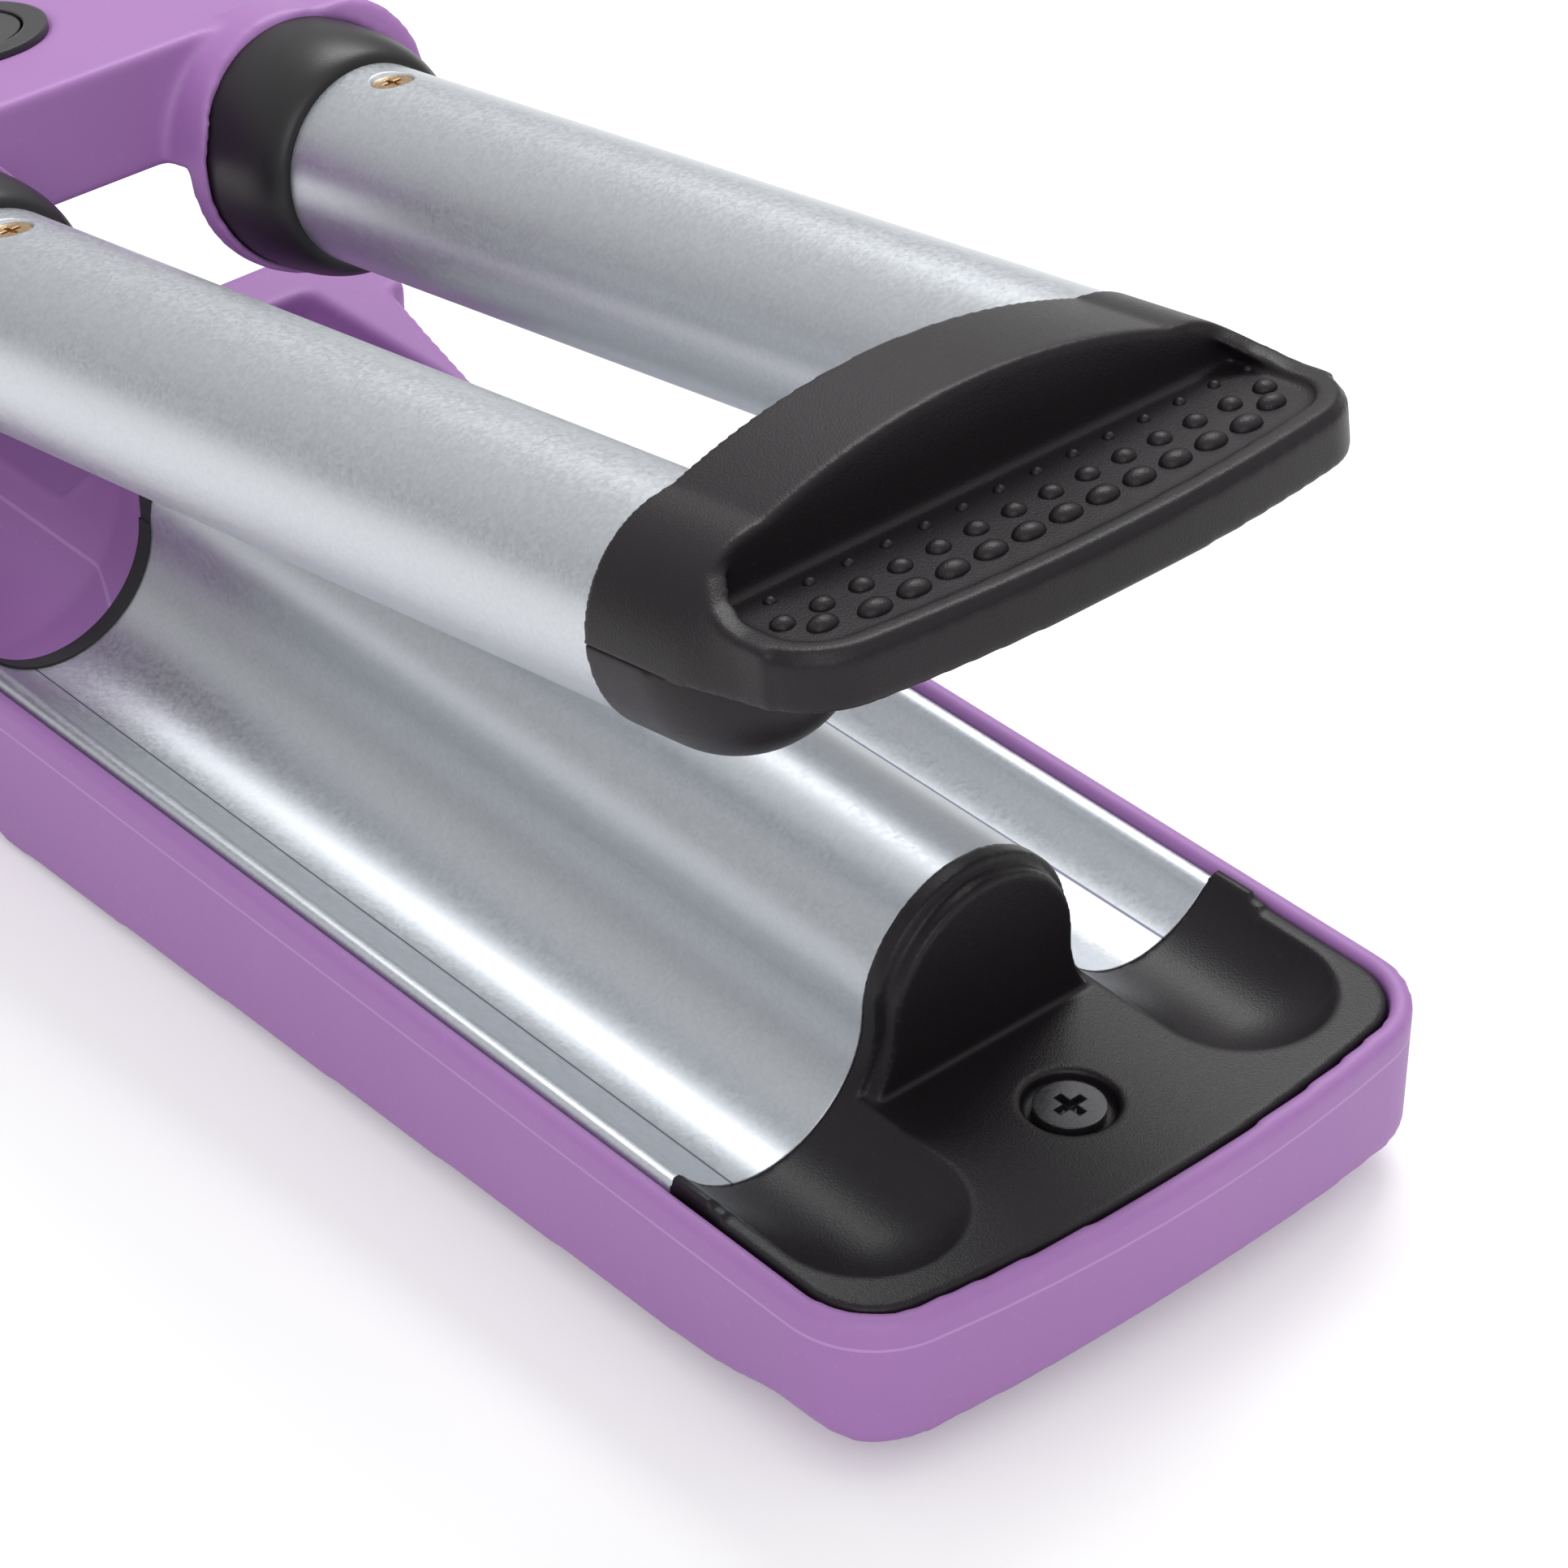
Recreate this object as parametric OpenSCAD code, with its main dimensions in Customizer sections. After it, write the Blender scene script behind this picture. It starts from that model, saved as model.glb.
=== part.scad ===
// Hair crimper with two heated barrels that close over a waved plate.
// X runs from the hinge to the tip, Y to the left, Z up. The origin lies on the surface under the hinge.
// Upper jaw parts are drawn along their own barrel axes, with the hinge axis at their origin.

/* [Barrels] */
// Outside diameter of a barrel
barrel_d = 19; // [17:0.5:20]
// Wall thickness of a barrel
barrel_wall = 1.2; // [0.8:0.1:1.8]
// Bare length of a barrel
barrel_l = 95; // [80:1:120]
// Distance between the barrel axes
barrel_pitch = 42; // [41:0.5:44]
// Distance from the hinge axis to the rear edge of the barrels
hinge_reach = 144.4; // [138:0.2:165]

/* [Waves] */
// Gap for hair between a barrel and its groove
hair_gap = 1; // [0.6:0.1:1.4]
// Thickness of the wave plate
plate_t = 1.5; // [1.2:0.1:2]
// How far the plate runs out past the front ends of the barrels
plate_front_reach = 5.6; // [4.6:0.2:7]
// How far the plate starts in front of the rear ends of the barrels
plate_rear_setback = 3.6; // [3:0.2:5]

/* [Jaws] */
// Angle between the open jaws
open_angle = 9.5; // [6:0.5:12]
// Width of both jaws
jaw_w = 66; // [66:0.5:72]
// Wall thickness of the lower jaw
tray_wall = 1.9; // [1.5:0.1:2.4]
// Height of the lower jaw's rim above the surface
rim_z = 16.5; // [16:0.5:20]
// Height of the closed barrel axes above the rim
axis_over_rim = 6.2; // [5.6:0.1:6.8]
// How far the lower jaw runs out past the plate
nose_l = 27.2; // [26:0.2:32]
// Rise of the underside at the tip
tip_rise = 4.2; // [2:0.2:6]
// Radius of the arc across the tip
tip_arc_r = 158; // [120:1:220]
// Radius of the tip's corners
tip_corner_r = 8.6; // [6:0.2:11]
// How much the lower jaw widens on each side behind the plate
flare = 6.2; // [5:0.2:8]

/* [Handles] */
// Width of the handles
handle_w = 38; // [36:0.5:44]
// Thickness of the upper handle
upper_h = 11.2; // [10.6:0.2:14]
// Radius of the lower handle's bottom edges
grip_r = 9; // [5:0.5:10]
// Wall thickness of the handle shells
shell_t = 2.2; // [1.8:0.1:2.6]
// Thickness of the inner handle covers
cover_t = 2; // [1.6:0.1:2.4]
// Length of the tail behind the hinge axis
tail_l = 31; // [30:1:36]

/* [Hinge] */
// Diameter of the hinge pin
pin_d = 4; // [3:0.5:5]
// Outside radius of the hinge knuckles
knuckle_r = 9; // [8.5:0.1:9.4]
// Thickness of each ear on the lower handle
ear_t = 6; // [5:0.2:7]
// Wire thickness of the hinge spring
spring_wire = 1.2; // [1:0.1:1.4]
// Number of coils in the hinge spring
spring_coils = 6; // [4:1:7]

/* [Tip] */
// Length of the finger ledge in front of the arch
ledge_l = 15.9; // [15:0.1:20]
// Height of the arch above the barrel axes
arch_h = 13.3; // [13:0.1:15]
// How far the cap stands proud of the barrels
cap_proud = 0.3; // [0.2:0.1:0.5]

/* [Controls] */
// Diameter of the button
button_d = 13; // [11:0.5:14]
// Outside diameter of the ring around the button
bezel_d = 17.5; // [16:0.5:20]
// Travel of the button
button_travel = 1; // [0.6:0.1:1.2]
// Distance from the button back from the rear edge of the barrels
button_setback = 35.4; // [34.4:0.2:38]

/* [Cord outlet] */
// Bore of the swivel that takes the cord
cord_bore_d = 7.2; // [6:0.2:7.6]
// Outside diameter of the swivel's neck
swivel_d = 11; // [10.6:0.2:12]

/* [Fits] */
// Clearance around drop-in parts
fit_gap = 0.3; // [0.2:0.05:0.4]
// Radial clearance of parts that turn on each other
run_gap = 0.05; // [0.03:0.01:0.08]

/* [Hidden] */
$fn = 96;
eps = 0.01;
big = 400;

// Places along X, with the jaws closed
axis_z = rim_z + axis_over_rim;
barrel_front = hinge_reach + barrel_l;
plate_rear = hinge_reach + plate_rear_setback;
plate_front = barrel_front + plate_front_reach;
tip_x = plate_front + nose_l;
boss_front = hinge_reach - 8.6;
boss_back = boss_front - 3.6;
yoke_front = boss_back - 3.2;
pocket_rear = hinge_reach - 30.2;
head_rear = pocket_rear - 7.2;
flare_front = plate_rear - 4.5;
wing_front = hinge_reach - 25;

// Wave profile, measured from the barrel axes
groove_r = barrel_d/2 + hair_gap;
groove_y = barrel_pitch/2;
ridge_r = groove_y - groove_r;
lip_m = -axis_over_rim - 0.4;
plate_half = jaw_w/2 - tray_wall - fit_gap;
plate_drop = groove_r + plate_t + 1;
web_m = -3.6;
web_t = 1.5;

// Lower jaw
tray_half = jaw_w/2 - tray_wall;
floor_t = 2.2;
bend_x = hinge_reach + 0.6;
collar_r = barrel_d/2 + 2.3;
boss_r = collar_r + 0.8;
pocket_r = boss_r + 0.8;
wing_step = 2.2;
arch_t = 3.4;
scoop_l = 11.9;
end_top = rim_z - fit_gap;
jaw_edge = 3.4;
nose_arc_x = tip_x - tip_arc_r;
nose_corner_y = jaw_w/2 - tip_corner_r;
nose_corner_x = nose_arc_x + sqrt(pow(tip_arc_r - tip_corner_r, 2) - pow(nose_corner_y, 2));
screw_x = plate_front + 13.4;
screw_head_r = 3.05;
screw_shank_r = 1.4;

// Handles
cover_top = rim_z;
saddle_z = axis_z - 0.6;
hollow_x = knuckle_r + 22;
yoke_w = jaw_w + 2;
upper_under = 0.8;
upper_top = upper_under + upper_h;
knuckle_half = handle_w/2 - ear_t - fit_gap;
cut_r = knuckle_r + 0.5;
arm_start = knuckle_r + 2;

hood_r = 7;

// Tip cap
cap_r = barrel_d/2 + cap_proud;
cap_split = 0.5;
ledge_m = 4.8;
lip_h = 0.7;
ledge_back = plate_front + arch_t + 1.7;
ledge_front = ledge_back + ledge_l;
spigot_r = barrel_d/2 - barrel_wall - run_gap;

// Hinge and controls
pin_r = pin_d/2;
bush_r = pin_r + 1.5;
coil_r = pin_r + 2.3;
spring_half = spring_coils*spring_wire/2;
board_m = 3.4;
board_t = 1.2;
board_top = board_m + board_t;
board_w = handle_w - 2*shell_t - 5.6;
post_r = 3.4;
heater_w = 12;
heater_h = 4;
heater_top = axis_z + web_m;
channel_foot = 8;
button_hole_r = bezel_d/2 - 1;
flange_top = upper_top - 1.3;
flange_low = upper_top - 2.6;
switch_h = 2;
button_u = hinge_reach - button_setback;
lens_u = button_u - bezel_d/2 - 6;
neck_u = button_u - 2;
cover_u = hinge_reach - 30.2;
upper_screw_u = [arm_start + 15, lens_u - 10];
board_back = lens_u - 40;
lower_screw_x = [hollow_x + 7, head_rear - 12];

// Cord outlet
swivel_z = 11;
swivel_r = swivel_d/2;
flange_r = swivel_r + 1.4;
flange_t = 3;
tail_x = -tail_l;
swivel_in = tail_x + 6;

// ---- Helpers ----

// Puts an upper jaw part, drawn along its barrel axes, at its open place
module upper_place() {
    translate([0, 0, axis_z]) rotate([0, -open_angle, 0]) children();
}

// Extrudes a (y, z) profile along X from x0 to x1
module along_x(x0, x1) {
    translate([x0, 0, 0]) rotate([90, 0, 90]) linear_extrude(x1 - x0) children();
}

// Extrudes an (x, z) profile along Y, centred
module along_y(w) {
    rotate([90, 0, 0]) linear_extrude(w, center = true) children();
}

// Cylinder along X
module rod_x(x0, x1, r) {
    translate([x0, 0, 0]) rotate([0, 90, 0]) cylinder(r = r, h = x1 - x0);
}

// Cylinder along Y from y0 to y1
module rod_y(y0, y1, r) {
    translate([0, y0, 0]) rotate([-90, 0, 0]) cylinder(r = r, h = y1 - y0);
}

// Rectangle with round corners, from its low corner
module round_rect(w, h, r) {
    translate([r, 0]) square([w - 2*r, h]);
    translate([0, r]) square([w, h - 2*r]);
    for (x = [r, w - r], y = [r, h - r]) translate([x, y]) circle(r = r);
}

module both_sides() {
    children();
    mirror([0, 1, 0]) children();
}

// ---- Lower jaw ----

// Plan of the lower jaw's nose, drawn in by inset
module nose_plan(inset, x0) {
    arc_r = tip_arc_r - inset;
    corner_r = tip_corner_r - inset;
    translate([x0, -jaw_w/2 + inset]) square([nose_corner_x - x0, jaw_w - 2*inset]);
    for (s = [-1, 1]) translate([nose_corner_x, s*nose_corner_y]) circle(r = corner_r);
    intersection() {
        translate([nose_arc_x, 0]) circle(r = arc_r, $fn = 360);
        nose_sector();
    }
}

// Area in front of the nose's corner centres, between the radii through them
module nose_sector() {
    spread = nose_corner_y/(nose_corner_x - nose_arc_x);
    x1 = tip_x + 10;
    y1 = (x1 - nose_arc_x)*spread;
    polygon([[nose_corner_x, -nose_corner_y], [x1, -y1], [x1, y1], [nose_corner_x, nose_corner_y]]);
}

// Cross-section of the lower jaw's outside
module jaw_section() {
    w = jaw_w + 0.04;
    translate([-w/2, jaw_edge]) square([w, 40 - jaw_edge]);
    translate([-w/2 + jaw_edge, 0]) square([w - 2*jaw_edge, jaw_edge + 1]);
    for (s = [-1, 1]) translate([s*(w/2 - jaw_edge), jaw_edge]) circle(r = jaw_edge);
}

// Height of the underside above the surface
function under_z(x) = x < bend_x ? 0 : (x - bend_x)*tip_rise/(tip_x - bend_x);

// Side profile of the space above a floor of the given thickness
module above_floor(t) {
    polygon([[head_rear - 30, t], [bend_x, t], [tip_x + 5, under_z(tip_x + 5) + t], [tip_x + 5, 60],
        [head_rear - 30, 60]]);
}

// Plan of the jaw behind the plate: it widens to a wing on each side
module head_plan() {
    half = jaw_w/2;
    both_sides() polygon([[head_rear, -1], [flare_front, -1], [flare_front, half],
        [wing_front, half + flare], [wing_front, half + flare + wing_step],
        [head_rear + 5, half + flare + wing_step], [head_rear, half + flare - 1]]);
}

// Outside of the jaw: wings at the back, rim along the plate, underside rising to the tip
module jaw_body() {
    slope = atan2(tip_rise, tip_x - bend_x);
    front_r = jaw_edge + 1;
    wing_low = jaw_edge + 1.8;
    intersection() {
        union() {
            translate([bend_x, 0, 0]) rotate([0, -slope, 0])
                along_x(head_rear - bend_x - 1.4, tip_x - bend_x + 5) jaw_section();
            both_sides() along_x(head_rear - 1, plate_rear)
                polygon([[20, wing_low], [jaw_w/2 + 1, wing_low], [jaw_w/2 + 12, wing_low + 8],
                    [jaw_w/2 + 12, 40], [20, 40]]);
        }
        linear_extrude(40) {
            nose_plan(0, flare_front - 10);
            head_plan();
        }
        along_y(jaw_w + 40) {
            polygon([[head_rear - 1, 0], [tip_x + 1 - front_r, 0], [tip_x + 1 - front_r, tip_rise + front_r],
                [tip_x + 1, tip_rise + front_r], [tip_x + 1, rim_z], [head_rear - 1, rim_z]]);
            translate([tip_x + 1 - front_r, tip_rise + front_r]) circle(r = front_r);
        }
    }
}

// Cross-section of the lower handle
module grip_section(inset) {
    w = handle_w - 2*inset;
    r = grip_r - inset;
    translate([-w/2, inset + r]) square([w, saddle_z - inset - r + (inset > 0 ? 10 : 0)]);
    translate([-w/2 + r, inset]) square([w - 2*r, 2*r]);
    for (s = [-1, 1]) translate([s*(w/2 - r), inset + r]) circle(r = r);
}

module grip_body() {
    tail_r = handle_w/2 + 5;
    intersection() {
        along_x(tail_x - 1, head_rear + 1) grip_section(0);
        union() {
            translate([tail_x + tail_r - 1, -handle_w, -1]) cube([big, 2*handle_w, 40]);
            translate([tail_x + tail_r, 0, -1]) cylinder(r = tail_r, h = 40);
        }
        along_y(handle_w + 2) polygon([[tail_x - 1, -1], [head_rear + 9, -1], [head_rear + 9, cover_top],
            [hollow_x - 3, cover_top], [arm_start + 4, saddle_z], [-cut_r, saddle_z],
            [tail_x - 1, saddle_z - 4]]);
    }
}

// Hollow of the lower handle, open at the top for its cover
module grip_hollow() {
    along_x(hollow_x, head_rear - 2) grip_section(shell_t);
}

module ear() {
    y0 = handle_w/2 - ear_t;
    translate([0, 0, axis_z]) rod_y(y0, handle_w/2, knuckle_r);
    translate([0, (y0 + handle_w/2)/2, 0]) along_y(ear_t)
        polygon([[-knuckle_r - 1.5, grip_r + 1], [knuckle_r + 1.5, grip_r + 1], [knuckle_r - 0.4, axis_z],
            [0.4 - knuckle_r, axis_z]]);
}

// Pockets behind the plate that take the collars and bosses of the closed upper jaw
module pockets() {
    straight = boss_front + 3.2;
    for (s = [-1, 1]) translate([0, s*groove_y, axis_z]) {
        rod_x(pocket_rear, straight, pocket_r);
        translate([straight, 0, 0]) rotate([0, 90, 0])
            cylinder(r1 = pocket_r, r2 = groove_r + 0.4, h = plate_rear - 1.6 - straight);
    }
    // Way of the collars past the hump
    both_sides() translate([0, 0, axis_z - 0.6]) linear_extrude(20) polygon([
        [straight - 5, groove_y - pocket_r + 0.3], [hinge_reach - 1.2, groove_y - collar_r - 0.6],
        [hinge_reach + 0.8, groove_y - barrel_d/2 - 0.7], [hinge_reach + 0.8, groove_y],
        [straight - 5, groove_y]]);
}

// Central hump that carries the ridge back behind the plate
module hump() {
    hump_x0 = plate_rear - 18;
    intersection() {
        along_x(hump_x0 - 4, plate_rear - 1.6) {
            translate([-groove_y, 0]) square([barrel_pitch, axis_z]);
            translate([0, axis_z]) circle(r = ridge_r);
        }
        along_y(barrel_pitch + 2) polygon([[hump_x0 - 4, 0], [plate_rear, 0], [plate_rear, axis_z + ridge_r],
            [plate_rear - 3, axis_z + ridge_r], [hump_x0, rim_z], [hump_x0 - 4, rim_z]]);
    }
}

module tray_hollow() {
    intersection() {
        linear_extrude(60) nose_plan(tray_wall, plate_rear - 1.6);
        along_y(jaw_w) above_floor(floor_t);
    }
}

// Ledges that carry the plate's edges, ribs under the heater clamp, and the screw post
module tray_seats() {
    intersection() {
        union() {
            both_sides() translate([plate_rear, plate_half - plate_t - 0.6, 0])
                cube([plate_front - plate_rear - 1, 6, axis_z - plate_drop]);
            for (x = [plate_rear + 10, (plate_rear + plate_front)/2, plate_front - 10])
                translate([x - 1.5, -heater_w/2 - 2, 0]) cube([3, heater_w + 4, channel_foot]);
            translate([screw_x, 0, 0]) cylinder(r = 3.2, h = end_top - 4);
        }
        linear_extrude(60) nose_plan(tray_wall - 0.2, plate_rear - 2);
        along_y(jaw_w) above_floor(floor_t - 0.2);
    }
}

module lower_housing() {
    color("mediumorchid") difference() {
        union() {
            difference() {
                union() {
                    jaw_body();
                    grip_body();
                    hump();
                }
                pockets();
                tray_hollow();
                grip_hollow();
            }
            tray_seats();
            both_sides() ear();
            lower_posts();
        }
        // Room for the upper knuckle
        translate([0, 0, axis_z]) rod_y(-knuckle_half - fit_gap, knuckle_half + fit_gap, cut_r);
        // Hinge pin and its caps
        translate([0, 0, axis_z]) rod_y(-handle_w/2 + 1.4, handle_w/2 - 1.4, pin_r + 0.02);
        for (s = [0, 1]) mirror([0, s, 0]) translate([0, 0, axis_z])
            rod_y(handle_w/2 - 1.5, handle_w/2 + 1, pin_r + 2);
        // Lower leg of the hinge spring
        translate([0, -spring_half - 0.5, axis_z - coil_r - spring_wire/2]) cube([13, spring_wire + 1, 4]);
        // Seat of the inner cover
        translate([hollow_x - 1, -handle_w/2 + shell_t, cover_top - cover_t])
            cube([head_rear - 1 - hollow_x, handle_w - 2*shell_t, cover_t + 1]);
        for (x = lower_screw_x) translate([x, 0, shell_t]) cylinder(r = screw_shank_r, h = 40);
        // Screw of the end plate
        translate([screw_x, 0, under_z(screw_x) + 1.2]) cylinder(r = screw_shank_r, h = 40);
        // Cord outlet and lead way
        translate([0, 0, swivel_z]) {
            rod_x(tail_x - 1, tail_x + 20, swivel_r + run_gap);
            rod_x(swivel_in, tail_x + 20, flange_r + run_gap);
        }
        translate([0, 0, 8]) rod_x(tail_x + 19, hollow_x + 3, 2.8);
        // Lead way from the handle to the jaw
        translate([head_rear - 6, -6, 5]) cube([plate_rear - head_rear + 10, 12, 6]);
    }
}

// Posts in the lower handle that take the cover screws
module lower_posts() {
    for (x = lower_screw_x) translate([x, 0, 1]) cylinder(r = post_r, h = cover_top - cover_t - 1);
}

module lower_cover() {
    gap = 0.15;
    color("orchid") difference() {
        translate([hollow_x - 1 + gap, -handle_w/2 + shell_t + gap, cover_top - cover_t])
            cube([head_rear - 1 - hollow_x - 2*gap, handle_w - 2*shell_t - 2*gap, cover_t]);
        for (x = lower_screw_x) translate([x, 0, 0]) {
            cylinder(r = screw_shank_r, h = 40);
            translate([0, 0, cover_top - 1]) cylinder(r = screw_head_r + run_gap, h = 5);
        }
    }
}

// Cross-recessed screw, its head's top at the origin and its shank down
module screw(len) {
    head_h = 1;
    difference() {
        union() {
            translate([0, 0, -head_h]) cylinder(r = screw_head_r, h = head_h);
            translate([0, 0, -len]) cylinder(r = screw_shank_r, h = len);
        }
        for (a = [0, 90]) rotate([0, 0, a]) translate([-1.5, -0.4, -0.8]) cube([3, 0.8, 2]);
    }
}

module lower_screws() {
    color("dimgray") for (x = lower_screw_x) translate([x, 0, cover_top]) screw(12);
}

// Area under the wave, lowered by t, in (y, height over the barrel axes)
module wave_area(t, half, drop) {
    difference() {
        translate([-half, -drop]) square([2*half, drop]);
        for (s = [-1, 1]) {
            translate([s*groove_y, 0]) circle(r = groove_r + t);
            translate([s > 0 ? groove_y : -big/2, lip_m - t]) square([big/2 - groove_y, big]);
        }
    }
    intersection() {
        circle(r = ridge_r - t);
        translate([-ridge_r, -eps]) square([2*ridge_r, ridge_r + 1]);
    }
}

module wave_plate() {
    color("silver") translate([0, 0, axis_z]) along_x(plate_rear, plate_front) {
        difference() {
            wave_area(0, plate_half, plate_drop);
            wave_area(plate_t, plate_half - plate_t, plate_drop + 1);
        }
        // Web that the heater is pressed against
        intersection() {
            translate([-ridge_r - 2, web_m]) square([2*ridge_r + 4, web_t]);
            wave_area(plate_t/2, plate_half, plate_drop);
        }
    }
}

module plate_gasket() {
    color([0.06, 0.06, 0.07]) translate([0, 0, axis_z]) along_x(plate_rear - 1.6, plate_rear) difference() {
        wave_area(-0.25, plate_half, plate_drop - 0.5);
        wave_area(plate_t + 0.4, plate_half - plate_t, plate_drop + 1);
    }
}

// Scoop that carries a groove on into the end plate, with a round end
module scoop() {
    translate([0, groove_y, axis_z]) {
        rod_x(plate_front - 1, plate_front + scoop_l, groove_r);
        translate([plate_front + scoop_l, 0, 0]) sphere(r = groove_r);
    }
}

module end_plate() {
    skirt = 6;
    color([0.1, 0.1, 0.11]) difference() {
        union() {
            // Field, with a skirt around its edge
            difference() {
                translate([0, 0, end_top - skirt]) linear_extrude(skirt)
                    nose_plan(tray_wall + fit_gap, plate_front);
                translate([0, 0, end_top - skirt - 1]) linear_extrude(skirt - 1)
                    nose_plan(tray_wall + fit_gap + 1.6, plate_front + 1.6);
            }
            // Cups under the scoops
            intersection() {
                both_sides() translate([0, groove_y, axis_z]) {
                    rod_x(plate_front, plate_front + scoop_l, groove_r + 1.6);
                    translate([plate_front + scoop_l, 0, 0]) sphere(r = groove_r + 1.6);
                }
                linear_extrude(end_top - eps) nose_plan(tray_wall + fit_gap, plate_front);
            }
            // Arch wall that meets the ridge, with a proud rim
            translate([0, 0, axis_z]) {
                along_x(plate_front, plate_front + 1.8) arch_area(0.25);
                along_x(plate_front, plate_front + arch_t) arch_area(-0.7);
            }
            // Corner blocks
            both_sides() translate([plate_front, groove_y + 5.4, end_top - 2]) cube([4.6, 3.4, 2.5]);
            translate([screw_x, 0, end_top - 4]) cylinder(r = 3.2, h = 3.5);
        }
        both_sides() scoop();
        translate([screw_x, 0, end_top - 1.3]) cylinder(r = 4, h = 5);
        translate([screw_x, 0, 0]) cylinder(r = screw_shank_r + fit_gap, h = 40);
        // Hollow behind the arch wall
        translate([0, 0, axis_z]) along_x(plate_front - 1, plate_front + arch_t - 1.6)
            intersection() {
                wave_area(2.6, plate_half, axis_over_rim + 4);
                translate([-ridge_r, -axis_over_rim - 4]) square([2*ridge_r, 40]);
            }
    }
}

// Ridge outline grown by g, down to the field, with feet that follow the grooves
module arch_area(g) {
    intersection() {
        wave_area(-g, groove_y, axis_over_rim + 1);
        translate([-groove_y, -axis_over_rim - 1]) square([2*groove_y, 60]);
    }
}

module end_plate_screw() {
    color([0.08, 0.08, 0.09]) translate([screw_x, 0, end_top - 0.3]) screw(9);
}

module plate_heater() {
    color("tan") translate([plate_rear + 8, -heater_w/2, heater_top - heater_h])
        cube([plate_front - plate_rear - 16, heater_w, heater_h]);
}

// Channel that stands on the tray's ribs and presses the heater up
module heater_clamp() {
    top = heater_top - heater_h;
    sheet = 0.8;
    color("slategray") along_x(plate_rear + 6, plate_front - 6) {
        translate([-heater_w/2, top - sheet]) square([heater_w, sheet]);
        for (s = [-1, 1]) translate([s*(heater_w - sheet)/2 - sheet/2, channel_foot])
            square([sheet, top - channel_foot]);
    }
}

module thermal_fuse() {
    color("gainsboro") translate([plate_rear + 30, 0, axis_z + web_m + web_t + 2]) rod_x(0, 12, 2);
}

module temperature_sensor() {
    color("orange") translate([plate_rear + 60, 0, axis_z + web_m + web_t + 1.2]) rod_x(0, 6, 1.2);
}

// ---- Hinge ----

module hinge_pin() {
    color("lightgray") translate([0, 0, axis_z]) rod_y(-handle_w/2 + 1.5, handle_w/2 - 1.5, pin_r);
}

module pin_cap() {
    color([0.1, 0.1, 0.11]) translate([0, 0, axis_z]) {
        rod_y(handle_w/2 - 1.5, handle_w/2 - 0.2, pin_r + 2 - run_gap);
    }
}

module left_pin_cap() {
    pin_cap();
}

module right_pin_cap() {
    mirror([0, 1, 0]) pin_cap();
}

// Torsion spring around the pin, with one leg on each handle
module hinge_spring() {
    r = spring_wire/2;
    leg_y = (spring_coils - 1)/2*(spring_wire - 0.06);
    color("darkgray") translate([0, 0, axis_z]) {
        rotate([90, 0, 0]) rotate_extrude($fn = 48) for (i = [0 : spring_coils - 1])
            translate([coil_r, i*(spring_wire - 0.06) - leg_y]) circle(r = r, $fn = 16);
        translate([0, -leg_y, -coil_r]) rod_x(0.3, 12, r - 0.05, $fn = 16);
        rotate([0, -open_angle, 0]) translate([0, leg_y, coil_r]) rod_x(0.3, 12, r - 0.05, $fn = 16);
    }
}

module hinge_bush() {
    color("ivory") upper_place() difference() {
        rod_y(spring_half + 0.4, knuckle_half, bush_r);
        rod_y(spring_half, knuckle_half + 1, pin_r + run_gap);
    }
}

module left_hinge_bush() {
    hinge_bush();
}

module right_hinge_bush() {
    mirror([0, 1, 0]) hinge_bush();
}

// ---- Upper jaw ----

// Plan of the yoke, its outer walls and the handle
module upper_plan() {
    corner = 8;
    fillet = (yoke_w - handle_w)/2 - corner;
    translate([arm_start, -handle_w/2]) square([neck_u + 10 - arm_start, handle_w]);
    translate([neck_u, -yoke_w/2]) intersection() {
        round_rect(boss_front - neck_u + 30, yoke_w, corner);
        union() {
            square([yoke_front - neck_u, yoke_w]);
            for (y = [0, yoke_w/2 + groove_y]) translate([0, y])
                square([boss_front + 4 - neck_u, yoke_w/2 - groove_y]);
        }
    }
    for (s = [-1, 1]) difference() {
        translate([neck_u - fillet, s > 0 ? 0 : -handle_w/2 - fillet]) square([fillet + 1, handle_w/2 + fillet]);
        translate([neck_u - fillet, s*(handle_w/2 + fillet)]) circle(r = fillet);
    }
}

// Cross-section of the upper jaw or handle, flat below and with round top corners
module upper_section(w, r) {
    translate([-w/2, upper_under]) square([w, upper_h - r]);
    translate([-w/2 + r, upper_under]) square([w - 2*r, upper_h]);
    intersection() {
        for (s = [-1, 1]) translate([s*(w/2 - r), upper_top - r]) circle(r = r);
        translate([-w/2, upper_under]) square([w, upper_h]);
    }
}

// Solid outside of the yoke and handle
module upper_body() {
    soft = 4;
    sweep = 4;
    lean = 18;
    difference() {
        union() {
            intersection() {
                linear_extrude(upper_top + 1) upper_plan();
                union() {
                    along_x(arm_start, neck_u + 6) upper_section(handle_w, soft);
                    along_x(neck_u - 10, boss_front + 6) upper_section(yoke_w, hood_r);
                }
            }
            both_sides() translate([0, groove_y, 0]) rod_x(yoke_front - 2, boss_front + 5, boss_r);
        }
        // Underside behind the bosses
        translate([yoke_front - 4, -yoke_w, upper_under - 30]) cube([boss_back - yoke_front + 4, 2*yoke_w, 30]);
        // Front faces, swept forward to the outside and leaning back on top
        both_sides() translate([boss_front, groove_y, 0]) rotate([0, 0, -sweep]) {
            translate([0, -groove_y, -big/2]) cube([big, big, big]);
            translate([0, -groove_y, 4]) rotate([0, -lean, 0]) cube([big, big, big]);
        }
    }
    // Arm that carries the knuckle
    rod_y(-knuckle_half, knuckle_half, knuckle_r);
    translate([knuckle_r/2, -knuckle_half, upper_under + 0.1])
        cube([arm_start + 2, 2*knuckle_half, knuckle_r - upper_under - 2]);
}

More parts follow.
